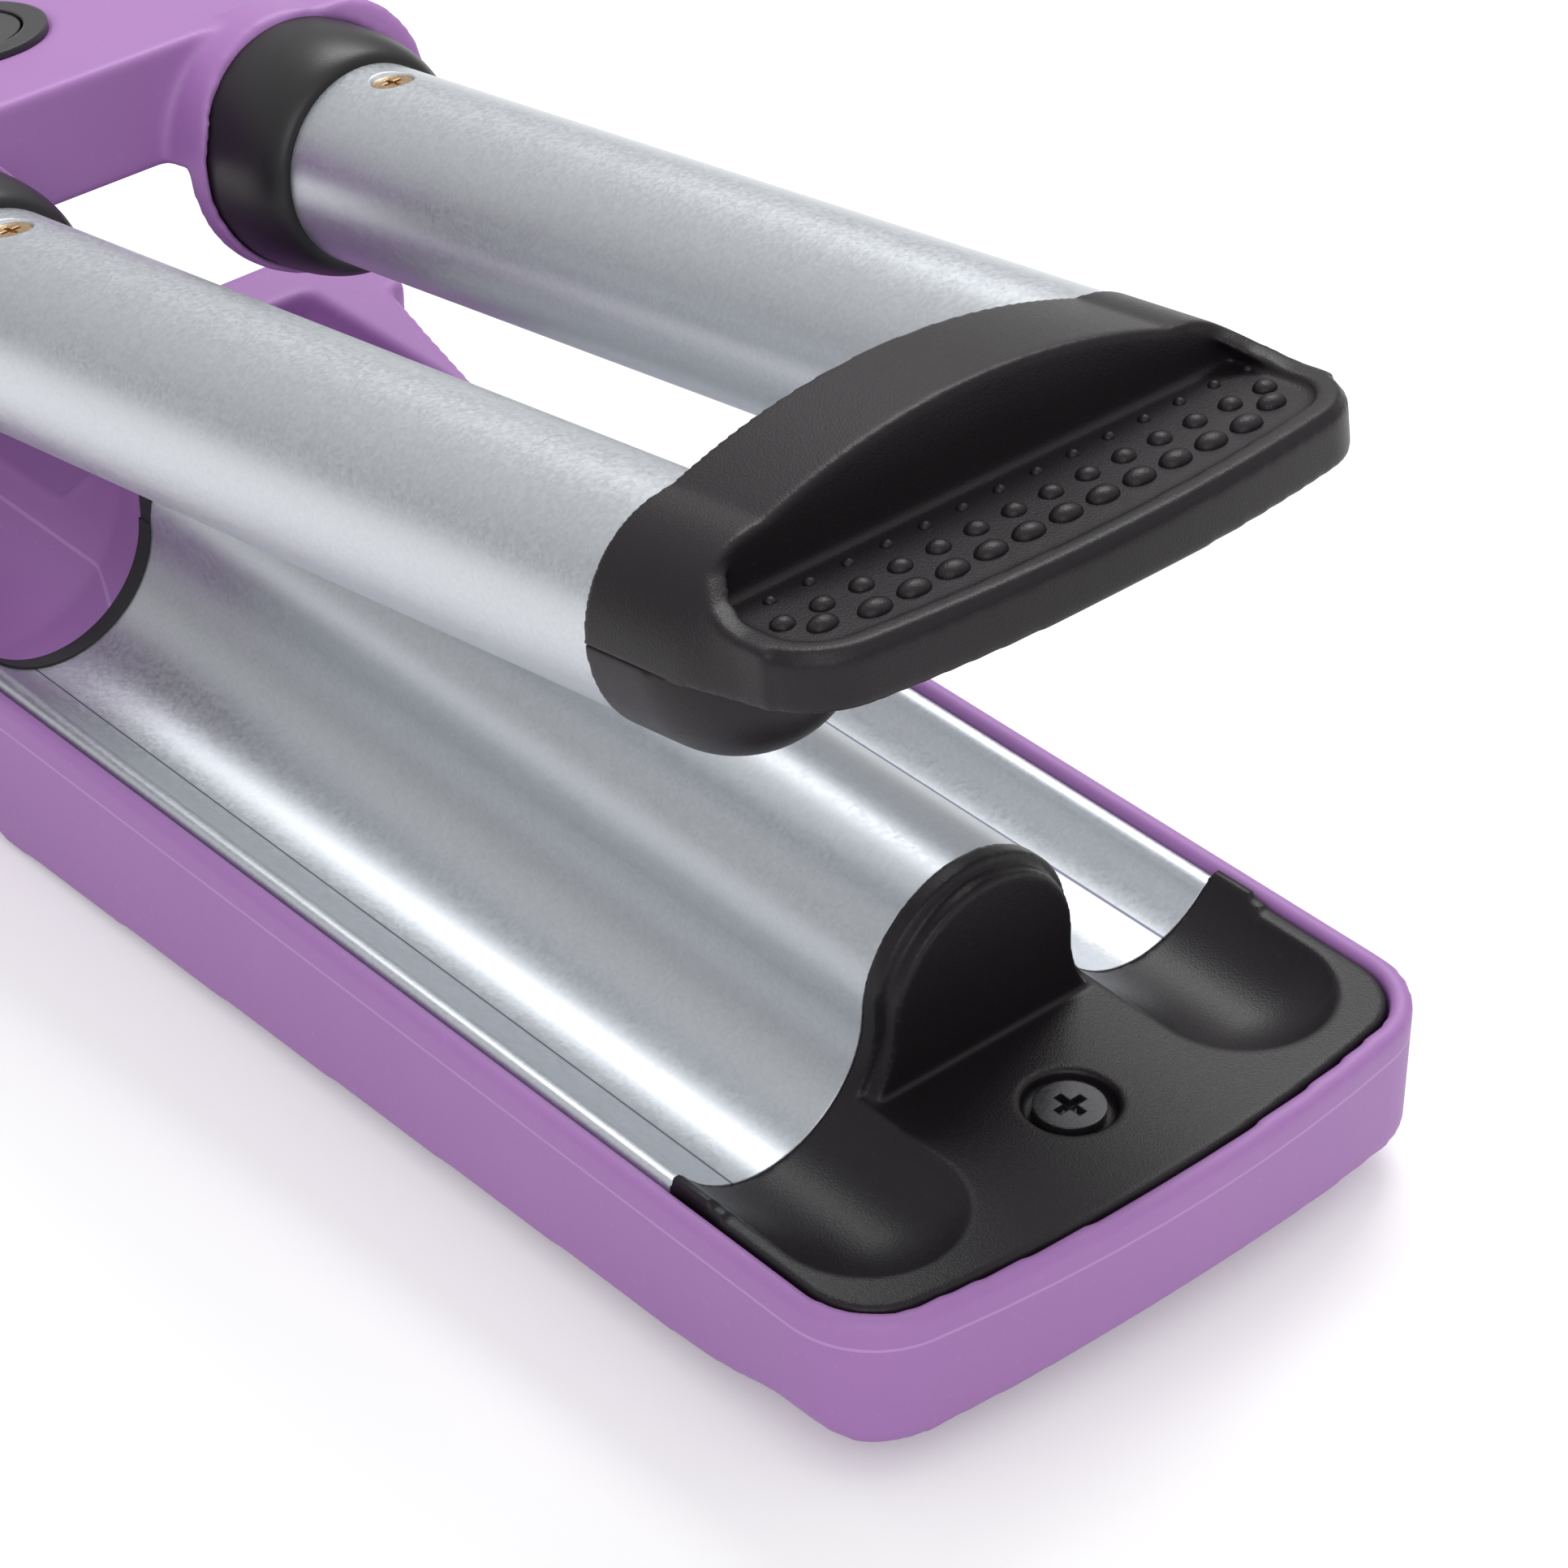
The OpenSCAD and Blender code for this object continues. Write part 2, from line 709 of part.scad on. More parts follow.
module upper_housing() {
    lead_u = yoke_front - 7;
    lead_m = upper_under + 5.4;
    color("plum") upper_place() difference() {
        upper_body();
        // Hollow, open below for the cover
        translate([arm_start + 10, -handle_w/2 + shell_t, -20])
            cube([cover_u - arm_start - 10, handle_w - 2*shell_t, 20 + upper_top - shell_t]);
        // Lead ways from the hollow into the bosses
        translate([cover_u - 1, -4, lead_m - 2]) cube([lead_u - cover_u + 2, 8, 4]);
        translate([lead_u, -groove_y - 2, lead_m - 2]) cube([4, 2*groove_y + 4, 4]);
        both_sides() translate([lead_u + 1, groove_y - 2, lead_m - 2]) cube([boss_back + 1 - lead_u, 4, 4]);
        // Seats of the collars
        both_sides() translate([0, groove_y, 0]) rod_x(boss_back + 1, boss_front + 5, collar_r + 0.02);
        // Button and lamp
        translate([button_u, 0, board_m]) cylinder(r = button_hole_r, h = 40);
        translate([button_u, 0, upper_top - 1]) cylinder(r = bezel_d/2 + run_gap, h = 10);
        translate([lens_u, 0, 0]) cylinder(r = 1.5 + run_gap, h = 40);
        // Bushes, spring and its legs
        rod_y(-knuckle_half - 1, knuckle_half + 1, bush_r);
        rod_y(-spring_half - 0.4, spring_half + 0.4, coil_r + spring_wire/2 + 0.3);
        translate([0, spring_half - spring_wire - 1, coil_r - 2]) cube([14, spring_wire + 2, 5]);
        translate([0, -spring_half - 1, -coil_r - 3]) cube([14, spring_wire + 2, 5]);
        // Cover and its screws
        translate([arm_start + 9, -handle_w/2 + shell_t - 1, -20])
            cube([cover_u - arm_start - 9, handle_w - 2*shell_t + 2, 20 + upper_under + cover_t]);
    }
    color("plum") upper_place() for (u = upper_screw_u) upper_post(u);
}

module upper_post(u) {
    difference() {
        translate([u, 0, upper_under + cover_t]) cylinder(r = post_r, h = upper_top - upper_under - cover_t - 1);
        translate([u, 0, 0]) cylinder(r = screw_shank_r, h = upper_top - 3);
    }
}

module upper_cover() {
    gap = 0.15;
    color("orchid") upper_place() difference() {
        union() {
            translate([arm_start + 9 + gap, -handle_w/2 + shell_t - 1 + gap, upper_under])
                cube([cover_u - arm_start - 9 - 2*gap, handle_w - 2*shell_t + 2 - 2*gap, cover_t]);
            // Pads that carry the board
            for (u = [lens_u - 36, button_u], y = [-10, 10]) translate([u, y, upper_under + cover_t - 1])
                cylinder(r = 2, h = board_m - upper_under - cover_t + 1);
        }
        for (u = upper_screw_u) translate([u, 0, 0]) {
            cylinder(r = screw_shank_r, h = 40);
            translate([0, 0, upper_under - 1]) cylinder(r = screw_head_r + run_gap, h = 2);
        }
    }
}

module upper_screws() {
    color("dimgray") upper_place() for (u = upper_screw_u)
        translate([u, 0, upper_under]) rotate([180, 0, 0]) screw(7);
}

module barrel() {
    color("silver") upper_place() translate([0, groove_y, 0]) difference() {
        rod_x(hinge_reach, barrel_front, barrel_d/2);
        rod_x(hinge_reach - 1, barrel_front + 1, barrel_d/2 - barrel_wall);
        translate([hinge_reach + 5.2, 0, 0]) cylinder(r = 1.2, h = 20);
        translate([hinge_reach + 5.2, 0, barrel_d/2 - barrel_wall]) cylinder(r1 = 1.2, r2 = 2.6, h = barrel_wall + 0.4);
    }
}

module left_barrel() {
    barrel();
}

module right_barrel() {
    mirror([0, 1, 0]) barrel();
}

// Heat collar: seated in the boss, rounded down to the barrel, with a spigot inside the barrel
module collar() {
    round_r = collar_r - barrel_d/2 - 0.1;
    color([0.1, 0.1, 0.11]) upper_place() translate([0, groove_y, 0]) difference() {
        union() {
            rotate([0, 90, 0]) rotate_extrude() {
                translate([0, boss_back + 1]) square([collar_r, hinge_reach - round_r - boss_back - 1]);
                translate([0, hinge_reach - round_r - 1]) square([collar_r - round_r, round_r + 1]);
                translate([collar_r - round_r, hinge_reach - round_r]) circle(r = round_r);
            }
            rod_x(hinge_reach - 1, hinge_reach + 10, spigot_r);
        }
        rod_x(boss_back, hinge_reach + 11, 6.5);
        translate([hinge_reach + 5.2, 0, 0]) cylinder(r = 0.9, h = 20);
    }
}

module left_collar() {
    collar();
}

module right_collar() {
    mirror([0, 1, 0]) collar();
}

module barrel_screws() {
    color("goldenrod") upper_place() both_sides() translate([hinge_reach + 5.2, groove_y, barrel_d/2 - 0.35])
        difference() {
            union() {
                translate([0, 0, -0.8]) cylinder(r1 = 1.1, r2 = 1.9, h = 0.8);
                translate([0, 0, -3.8]) cylinder(r = 0.9, h = 3.8);
            }
            for (a = [0, 90]) rotate([0, 0, a]) translate([-1, -0.25, -0.5]) cube([2, 0.5, 2]);
        }
}

// Outline of the cap's arch over the barrels, in (y, height)
module cap_arch(drop) {
    rise = arch_h - cap_r;
    arc_r = (pow(groove_y, 2) + pow(rise, 2))/(2*rise);
    for (s = [-1, 1]) translate([s*groove_y, 0]) circle(r = cap_r - drop);
    intersection() {
        translate([0, arch_h - arc_r]) circle(r = arc_r - drop, $fn = 360);
        translate([-groove_y, 0]) square([barrel_pitch, 40]);
    }
}

// Plan of the finger ledge, drawn in by inset
module ledge_plan(inset) {
    half = groove_y + cap_r - 1.2 - inset;
    r = 7 - inset;
    arc_r = tip_arc_r - inset;
    arc_u = ledge_front - tip_arc_r;
    corner_y = half - r;
    corner_u = arc_u + sqrt(pow(arc_r - r, 2) - pow(corner_y, 2));
    meet_y = corner_y*arc_r/(arc_r - r);
    translate([ledge_back - 1, -half]) square([corner_u - ledge_back + 1, 2*half]);
    for (s = [-1, 1]) translate([corner_u, s*corner_y]) circle(r = r);
    intersection() {
        translate([arc_u, 0]) circle(r = arc_r, $fn = 360);
        translate([ledge_back - 1, -meet_y]) square([big, 2*meet_y]);
    }
}

module tip_cap() {
    color([0.1, 0.1, 0.11]) upper_place() difference() {
        union() {
            intersection() {
                along_x(barrel_front, ledge_back) cap_arch(0);
                translate([barrel_front, -jaw_w/2, cap_split]) cube([30, jaw_w, 40]);
            }
            translate([0, 0, cap_split]) linear_extrude(ledge_m + lip_h - cap_split - 0.7) ledge_plan(0);
            translate([0, 0, ledge_m + lip_h - 0.75]) linear_extrude(0.75) ledge_plan(0.5);
        }
        // Recess above the ledge
        translate([0, 0, ledge_m]) linear_extrude(40) intersection() {
            ledge_plan(2.4);
            translate([ledge_back, -jaw_w/2]) square([40, jaw_w]);
        }
        translate([ledge_back, -jaw_w/2, ledge_m + lip_h]) cube([40, jaw_w, 40]);
        // Room for the ridge and the arch wall of the end plate
        along_x(barrel_front - 1, ledge_back - 1.1) {
            circle(r = ridge_r + 0.9);
            translate([-ridge_r - 0.9, -20]) square([2*ridge_r + 1.8, 20]);
        }
        // Cap screws
        both_sides() translate([barrel_front + 5, groove_y, 0]) cylinder(r = screw_shank_r, h = 6);
    }
}

// Lower part of the tip: a spigot in the barrel and a half-round end
module end_plug() {
    round_u = barrel_front + 6;
    color([0.1, 0.1, 0.11]) upper_place() translate([0, groove_y, 0]) difference() {
        union() {
            rod_x(barrel_front - 10, barrel_front + 1, spigot_r);
            intersection() {
                union() {
                    rod_x(barrel_front, round_u, cap_r);
                    translate([round_u, 0, 0]) sphere(r = cap_r);
                }
                translate([barrel_front, -20, -20]) cube([30, 40, 20 + cap_split]);
            }
        }
        rod_x(barrel_front - 11, barrel_front - 1.5, spigot_r - 1.4);
        translate([barrel_front, -20, cap_split]) cube([30, 40, 40]);
        translate([barrel_front + 5, 0, -20]) cylinder(r = screw_shank_r, h = 40);
        translate([barrel_front + 5, 0, -cap_r - 1]) cylinder(r = screw_head_r + run_gap, h = 4);
    }
}

module left_end_plug() {
    end_plug();
}

module right_end_plug() {
    mirror([0, 1, 0]) end_plug();
}

module cap_screws() {
    color("dimgray") upper_place() both_sides()
        translate([barrel_front + 5, groove_y, -cap_r + 2]) rotate([180, 0, 0]) screw(12);
}

// Heating bar with flats, held by the barrel's bore
module barrel_heater() {
    color("tan") upper_place() translate([0, groove_y, 0]) intersection() {
        rod_x(hinge_reach + 16, barrel_front - 14, spigot_r);
        translate([0, -20, -3.2]) cube([big, 40, 6.4]);
    }
}

module left_heater() {
    barrel_heater();
}

module right_heater() {
    mirror([0, 1, 0]) barrel_heater();
}

// ---- Controls ----

module power_button() {
    flange_r0 = button_hole_r - 0.35;
    color([0.08, 0.08, 0.09]) upper_place() translate([button_u, 0, 0]) {
        rotate_extrude() difference() {
            union() {
                translate([0, flange_low]) square([flange_r0, flange_top - flange_low]);
                translate([0, flange_low]) square([button_d/2 - 0.35, upper_top + 0.4 - flange_low]);
            }
            translate([0, upper_top + 30]) circle(r = 29.9, $fn = 180);
        }
        translate([0, 0, board_top + switch_h + button_travel + fit_gap])
            cylinder(r = 1.5, h = flange_low - board_top - switch_h - button_travel - fit_gap + eps);
    }
}

module button_bezel() {
    color([0.16, 0.16, 0.17]) upper_place() translate([button_u, 0, 0]) difference() {
        translate([0, 0, upper_top - 1]) cylinder(r = bezel_d/2, h = 1.5);
        translate([0, 0, upper_top - 2]) cylinder(r = button_d/2, h = 5);
    }
}

// Light guide that stands on the board and ends in the lamp window
module indicator_lens() {
    color("red") upper_place() translate([lens_u, 0, board_top])
        cylinder(r = 1.5, h = upper_top - board_top + 0.2);
}

module control_board() {
    color("darkgreen") upper_place() difference() {
        translate([board_back, -board_w/2, board_m]) cube([cover_u - 1 - board_back, board_w, board_t]);
        translate([upper_screw_u[1], 0, 0]) cylinder(r = post_r + fit_gap, h = 20);
    }
}

module push_switch() {
    color("gray") upper_place() translate([button_u, 0, board_top]) {
        translate([-3, -3, 0]) cube([6, 6, switch_h - 0.5]);
        cylinder(r = 1.6, h = switch_h);
    }
}

// ---- Cord outlet ----

module cord_swivel() {
    color([0.1, 0.1, 0.11]) translate([0, 0, swivel_z]) difference() {
        union() {
            rod_x(tail_x - 8, swivel_in + 1, swivel_r);
            rod_x(swivel_in + fit_gap, swivel_in + flange_t, flange_r);
            translate([tail_x - 8, 0, 0]) sphere(r = swivel_r);
        }
        rod_x(tail_x - 20, swivel_in + flange_t + 1, cord_bore_d/2);
    }
}

module swivel_clip() {
    color("silver") translate([0, 0, swivel_z]) difference() {
        rod_x(swivel_in + flange_t + fit_gap, swivel_in + flange_t + fit_gap + 1, flange_r + run_gap);
        rod_x(swivel_in, swivel_in + 10, cord_bore_d/2 + 0.4);
    }
}

lower_housing();
lower_cover();
lower_screws();
wave_plate();
plate_gasket();
end_plate();
end_plate_screw();
plate_heater();
heater_clamp();
thermal_fuse();
temperature_sensor();
hinge_pin();
left_pin_cap();
right_pin_cap();
hinge_spring();
upper_housing();
upper_cover();
upper_screws();
left_barrel();
right_barrel();
left_collar();
right_collar();
barrel_screws();
tip_cap();
left_end_plug();
right_end_plug();
cap_screws();
left_heater();
right_heater();
power_button();
button_bezel();
indicator_lens();
control_board();
push_switch();
left_hinge_bush();
right_hinge_bush();
cord_swivel();
swivel_clip();
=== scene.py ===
import math

import bmesh
import bpy
from mathutils import Matrix, Vector


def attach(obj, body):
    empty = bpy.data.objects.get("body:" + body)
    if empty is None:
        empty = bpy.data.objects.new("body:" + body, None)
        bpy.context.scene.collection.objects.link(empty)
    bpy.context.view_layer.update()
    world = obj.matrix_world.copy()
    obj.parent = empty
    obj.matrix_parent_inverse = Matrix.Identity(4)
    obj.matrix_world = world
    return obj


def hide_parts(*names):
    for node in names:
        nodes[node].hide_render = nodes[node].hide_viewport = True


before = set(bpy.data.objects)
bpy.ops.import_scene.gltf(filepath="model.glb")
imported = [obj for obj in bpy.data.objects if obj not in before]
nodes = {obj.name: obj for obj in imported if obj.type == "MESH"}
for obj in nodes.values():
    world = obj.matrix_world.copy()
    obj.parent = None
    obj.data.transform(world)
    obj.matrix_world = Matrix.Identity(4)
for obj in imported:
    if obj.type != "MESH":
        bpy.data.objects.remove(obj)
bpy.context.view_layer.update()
print("frame loaded")

mm = 0.001
openAngle = math.radians(9.5)
hingeZ = 22.7
barrelSide = 21.0

# upper jaw parts are drawn along their barrels, in millimetres from the hinge axis
upperPlace = Matrix.Scale(mm, 4) @ Matrix.Translation((0, 0, hingeZ)) @ Matrix.Rotation(-openAngle, 4, "Y")
# lower jaw parts are drawn in millimetres from the ground below the hinge axis
lowerPlace = Matrix.Scale(mm, 4)


def newObject(name, data):
    item = bpy.data.objects.new(name, data)
    bpy.context.scene.collection.objects.link(item)
    return item


cameraView = {
    "place": (469.26 * mm, -218.98 * mm, 264.0 * mm),
    "azimuth": 48.26,
    "elevation": 35.55,
    "roll": 0.19,
    "lens": 111.9,
    "sensor": 36,
    "near": 0.02,
    "far": 20,
}


def makeCamera(view):
    data = bpy.data.cameras.new("camera")
    data.lens = view["lens"]
    data.sensor_width = view["sensor"]
    data.clip_start = view["near"]
    data.clip_end = view["far"]
    camera = newObject("camera", data)
    swing = Matrix.Rotation(math.radians(view["azimuth"]), 4, "Z")
    tilt = Matrix.Rotation(math.radians(90 - view["elevation"]), 4, "X")
    roll = Matrix.Rotation(math.radians(view["roll"]), 4, "Z")
    camera.matrix_world = Matrix.Translation(view["place"]) @ swing @ tilt @ roll
    bpy.context.scene.camera = camera


makeCamera(cameraView)
print("camera placed")


# a socket that takes part in plain arithmetic
class Wire:
    def __init__(self, shader, socket):
        self.shader = shader
        self.socket = socket

    def maths(self, operation, first, second, clamp=False):
        settings = {"operation": operation, "use_clamp": clamp}
        return self.shader.node("ShaderNodeMath", settings, {0: first, 1: second})

    def __add__(self, other):
        return self.maths("ADD", self, other)

    def __sub__(self, other):
        return self.maths("SUBTRACT", self, other)

    def __rsub__(self, other):
        return self.maths("SUBTRACT", other, self)

    def __mul__(self, other):
        return self.maths("MULTIPLY", self, other)

    __radd__ = __add__
    __rmul__ = __mul__

    def ramp(self, low, high):
        # 0 below low, 1 above high, straight between
        return self.maths("MULTIPLY", self - low, 1 / (high - low), clamp=True)

    def highest(self, other):
        return self.maths("MAXIMUM", self, other)

    def size(self):
        return self.maths("ABSOLUTE", self, 0)


# one procedural material, built around its Principled node
class Finish:
    def __init__(self, name):
        self.material = bpy.data.materials.new(name)
        self.material.use_nodes = True
        self.tree = self.material.node_tree
        self.main = self.tree.nodes["Principled BSDF"]
        self.place = self.node("ShaderNodeTexCoord", out="Object")

    def node(self, kind, settings=None, values=None, out=0):
        made = self.tree.nodes.new(kind)
        for name, value in (settings or {}).items():
            setattr(made, name, value)
        for slot, value in (values or {}).items():
            self.plug(made.inputs[slot], value)
        return Wire(self, made.outputs[out])

    def plug(self, slot, value):
        if isinstance(value, Wire):
            self.tree.links.new(value.socket, slot)
        elif isinstance(value, tuple) and slot.type == "RGBA":
            slot.default_value = value + (1,)
        else:
            slot.default_value = value

    def noise(self, scale, detail=2):
        return self.node("ShaderNodeTexNoise", None, {"Vector": self.place, "Scale": scale, "Detail": detail})

    def flakes(self, scale):
        return self.node("ShaderNodeTexVoronoi", None, {"Vector": self.place, "Scale": scale}, "Color")

    def mix(self, factor, low, high):
        # Mix's own sockets for a colour: factor 0, colours 6 and 7, result 2
        return self.node("ShaderNodeMix", {"data_type": "RGBA"}, {0: factor, 6: low, 7: high}, 2)

    def axes(self):
        split = self.tree.nodes.new("ShaderNodeSeparateXYZ")
        self.tree.links.new(self.place.socket, split.inputs[0])
        return [Wire(self, socket) for socket in split.outputs]

    def drawnLine(self, away, line, colour):
        # a thin line over the colour, where the distance away from it is small
        return self.mix(away.ramp(line["width"] * 0.5, line["width"]), line["tone"], colour)

    def set(self, name, value):
        self.plug(self.main.inputs[name], value)

    def relief(self, height, strength, depth, edge):
        soft = self.node("ShaderNodeBevel", {"samples": 6}, {"Radius": edge}, "Normal")
        values = {"Height": height, "Strength": strength, "Distance": depth, "Normal": soft}
        self.set("Normal", self.node("ShaderNodeBump", None, values, "Normal"))


# what the plastics have in common: scales are turns per metre, edges and depths are metres
plasticBase = {
    "wash": 30,
    "washSpan": (0.35, 0.65),
    "washRough": 0.08,
    "grainRough": 0.16,
    "dust": 0.15,
    "dustScale": 0.37,
    "dustSpan": (0.70, 0.76),
    "speckGain": 1.5,
    "speckLift": 0.01,
    "coat": 0.0,
    "specular": 0.5,
    "bump": 0.10,
    "depth": 0.00012,
    "edge": 0.0004,
}
# painted highlight along the tray's rim: height, width and pale tone of the line
rimHighlightLine = {"height": 0.0139, "width": 0.00018, "tone": (0.46, 0.25, 0.55)}
plasticLooks = {
    "purplePlastic": {"low": (0.345, 0.160, 0.425), "high": (0.365, 0.172, 0.445), "rough": 0.50,
                      "grain": 4200, "edge": 0.0005},
    # the tray carries a painted highlight line under its rim
    "purpleTray": {"low": (0.345, 0.160, 0.425), "high": (0.365, 0.172, 0.445), "rough": 0.50,
                   "grain": 4200, "edge": 0.0009, "line": rimHighlightLine},
    "purpleInner": {"low": (0.30, 0.130, 0.37), "high": (0.325, 0.142, 0.395), "rough": 0.58, "grain": 3600},
    "blackPlastic": {"low": (0.0080, 0.0058, 0.0076), "high": (0.0118, 0.0088, 0.0112), "rough": 0.41,
                     "grain": 5200, "bump": 0.30, "dust": 0.25, "edge": 0.0003, "specular": 0.30},
    "blackCollar": {"low": (0.0080, 0.0066, 0.0082), "high": (0.0115, 0.0098, 0.0118), "rough": 0.40,
                    "grain": 5200, "specular": 0.42},
    "blackRubber": {"low": (0.012, 0.011, 0.014), "high": (0.016, 0.015, 0.018), "rough": 0.62, "grain": 4600},
    "buttonCap": {"low": (0.009, 0.009, 0.010), "high": (0.012, 0.012, 0.013), "rough": 0.26,
                  "grain": 5200, "coat": 0.3},
    "buttonRing": {"low": (0.018, 0.017, 0.020), "high": (0.023, 0.022, 0.025), "rough": 0.36, "grain": 5200},
    "lampLens": {"low": (0.42, 0.018, 0.014), "high": (0.52, 0.030, 0.020), "rough": 0.18,
                 "grain": 3000, "coat": 0.5},
    "heaterCeramic": {"low": (0.60, 0.54, 0.44), "high": (0.70, 0.65, 0.55), "rough": 0.70, "grain": 2600},
    "circuitBoard": {"low": (0.012, 0.085, 0.030), "high": (0.020, 0.13, 0.048), "rough": 0.36, "grain": 2200},
    "whiteBush": {"low": (0.70, 0.69, 0.65), "high": (0.80, 0.79, 0.75), "rough": 0.50, "grain": 2600},
    "sensorBead": {"low": (0.55, 0.20, 0.045), "high": (0.68, 0.28, 0.08), "rough": 0.32, "grain": 2600},
}


def plasticFinish(name, look):
    look = {**plasticBase, **look}
    finish = Finish(name)
    wash = finish.noise(look["wash"], 3)
    grain = finish.noise(look["grain"], 2)
    dust = finish.noise(look["grain"] * look["dustScale"], 1).ramp(*look["dustSpan"])
    tone = finish.mix(wash.ramp(*look["washSpan"]), look["low"], look["high"])
    speck = tuple(min(1, channel * look["speckGain"] + look["speckLift"]) for channel in look["high"])
    colour = finish.mix(dust * look["dust"], tone, speck)
    if "line" in look:
        # painted highlight: the fine pale line under the rim, where light from above catches the rounded edge
        away = (finish.axes()[2] - look["line"]["height"]).size()
        colour = finish.drawnLine(away, look["line"], colour)
    finish.set("Base Color", colour)
    finish.set("Roughness", look["rough"] + (grain - 0.5) * look["grainRough"] + (wash - 0.5) * look["washRough"])
    finish.set("Coat Weight", look["coat"])
    finish.set("Specular IOR Level", look["specular"])
    finish.relief(grain, look["bump"], look["depth"], look["edge"])
    return finish.material


# what the metals have in common, in the same units
metalBase = {
    "flakes": 3200,
    "flakeRough": 0.10,
    "fineShare": 0.6,
    "fineRough": 0.06,
    "washScale": 45,
    "wash": 0.3,
    "metallic": 1.0,
    "bump": 0.06,
    "depth": 0.00006,
    "edge": 0.0002,
}
grooveFold = {"side": 0.0243, "width": 0.00016, "tone": (0.16, 0.16, 0.22)}
metalLooks = {
    "silverCoat": {"low": (0.43, 0.45, 0.475), "high": (0.70, 0.73, 0.765), "rough": 0.38, "sparkle": 0.28,
                   "metallic": 0.88, "wash": 0.06, "bump": 0.015},
    "waveCoat": {"low": (0.40, 0.42, 0.445), "high": (0.66, 0.69, 0.725), "rough": 0.40, "sparkle": 0.28,
                 "metallic": 0.88, "wash": 0.06, "bump": 0.015, "fold": grooveFold},
    "brassScrew": {"low": (0.50, 0.31, 0.15), "high": (0.74, 0.52, 0.30), "rough": 0.26, "sparkle": 0.3},
    "blackScrew": {"low": (0.020, 0.020, 0.022), "high": (0.050, 0.050, 0.055), "rough": 0.26, "sparkle": 0.4,
                   "metallic": 0.7},
    "brightSteel": {"low": (0.46, 0.46, 0.47), "high": (0.62, 0.62, 0.62), "rough": 0.30, "sparkle": 0.3},
}


def metalFinish(name, look):
    look = {**metalBase, **look}
    finish = Finish(name)
    flakes = finish.flakes(look["flakes"])
    fine = finish.noise(look["flakes"] * look["fineShare"], 2)
    wash = finish.noise(look["washScale"], 2)
    tone = (flakes - 0.5) * look["sparkle"] + (wash - 0.5) * look["wash"] + 0.5
    colour = finish.mix(tone.ramp(0, 1), look["low"], look["high"])
    if "fold" in look:
        # a fine dark line along the bottom of each groove
        away = (finish.axes()[1].size() - look["fold"]["side"]).size()
        colour = finish.drawnLine(away, look["fold"], colour)
    finish.set("Base Color", colour)
    finish.set("Metallic", look["metallic"])
    finish.set("Roughness", look["rough"] + (flakes - 0.5) * look["flakeRough"] + (fine - 0.5) * look["fineRough"])
    finish.relief(flakes, look["bump"], look["depth"], look["edge"])
    return finish.material


materials = {name: plasticFinish(name, look) for name, look in plasticLooks.items()}
materials.update({name: metalFinish(name, look) for name, look in metalLooks.items()})
print("finishes made")

nodeLooks = {
    "purplePlastic": ("upper_housing",),
    "purpleTray": ("lower_housing",),
    "purpleInner": ("lower_cover", "upper_cover"),
    "silverCoat": ("left_barrel", "right_barrel"),
    "waveCoat": ("wave_plate",),
    "blackPlastic": ("tip_cap", "left_end_plug", "right_end_plug", "end_plate"),
    "blackCollar": ("left_collar", "right_collar", "left_pin_cap", "right_pin_cap"),
    "blackRubber": ("plate_gasket", "cord_swivel"),
    "buttonCap": ("power_button",),
    "buttonRing": ("button_bezel",),
    "lampLens": ("indicator_lens",),
    "heaterCeramic": ("left_heater", "right_heater", "plate_heater"),
    "circuitBoard": ("control_board",),
    "whiteBush": ("left_hinge_bush", "right_hinge_bush"),
    "sensorBead": ("temperature_sensor",),
    "brassScrew": ("barrel_screws",),
    "blackScrew": ("end_plate_screw", "lower_screws", "upper_screws", "cap_screws"),
    "brightSteel": ("hinge_spring", "hinge_pin", "swivel_clip", "heater_clamp", "push_switch", "thermal_fuse"),
}
for look, names in nodeLooks.items():
    for name in names:
        mesh = nodes[name].data
        mesh.materials.clear()
        mesh.materials.append(materials[look])
print("solids dressed")


def between(value, low, high):
    return min(1, max(0, (value - low) / (high - low)))


def meshFrom(work, name):
    mesh = bpy.data.meshes.new(name)
    work.to_mesh(mesh)
    work.free()
    return mesh


def evaluatedMesh(item, name):
    graph = bpy.context.evaluated_depsgraph_get()
    mesh = bpy.data.meshes.new_from_object(item.evaluated_get(graph))
    mesh.name = name
    return mesh


weldReach = 0.002 * mm


def mergedCopy(names, place):
    # the solids' meshes as one closed mesh, in the piece's own millimetres
    work = bmesh.new()
    for name in names:
        work.from_mesh(nodes[name].data)
    bmesh.ops.remove_doubles(work, verts=work.verts, dist=weldReach)
    work.transform(place.inverted())
    return meshFrom(work, "merged")


def shadeSmooth(work, crease):
    # smooth all over, but for edges sharper than the crease in degrees
    for face in work.faces:
        face.smooth = True
    for edge in work.edges:
        edge.smooth = edge.calc_face_angle(0) < math.radians(crease)


def loft(work, rings):
    count = len(rings[0])
    faces = [work.faces.new(rings[0]), work.faces.new(list(reversed(rings[-1])))]
    for near, far in zip(rings, rings[1:]):
        for index in range(count):
            after = (index + 1) % count
            faces.append(work.faces.new((near[index], far[index], far[after], near[after])))
    bmesh.ops.recalc_face_normals(work, faces=faces)


def addOnBothSides(work, shape, outlineAt):
    # a closed body on each side, through the shape's outline at each of its stations
    for side in (-1, 1):
        rings = []
        for station in shape["stations"]:
            outline = outlineAt(shape, station)
            rings.append([work.verts.new((station[0], side * reach, height)) for reach, height in outline])
        loft(work, rings)


# strip that fills out the tray's lower side edges: station, and height above the underside
footStrip = {
    "stations": [(147.0, 2.2), (154.0, 0.1), (250.0, 0.1), (255.0, 0.6), (261.6, 2.2)],
    "side": 33.0,
    "wall": 1.6,
    "edge": 0.5,
    "top": 4.4,
    "bend": 145.0,
    "slope": 0.03302,
}


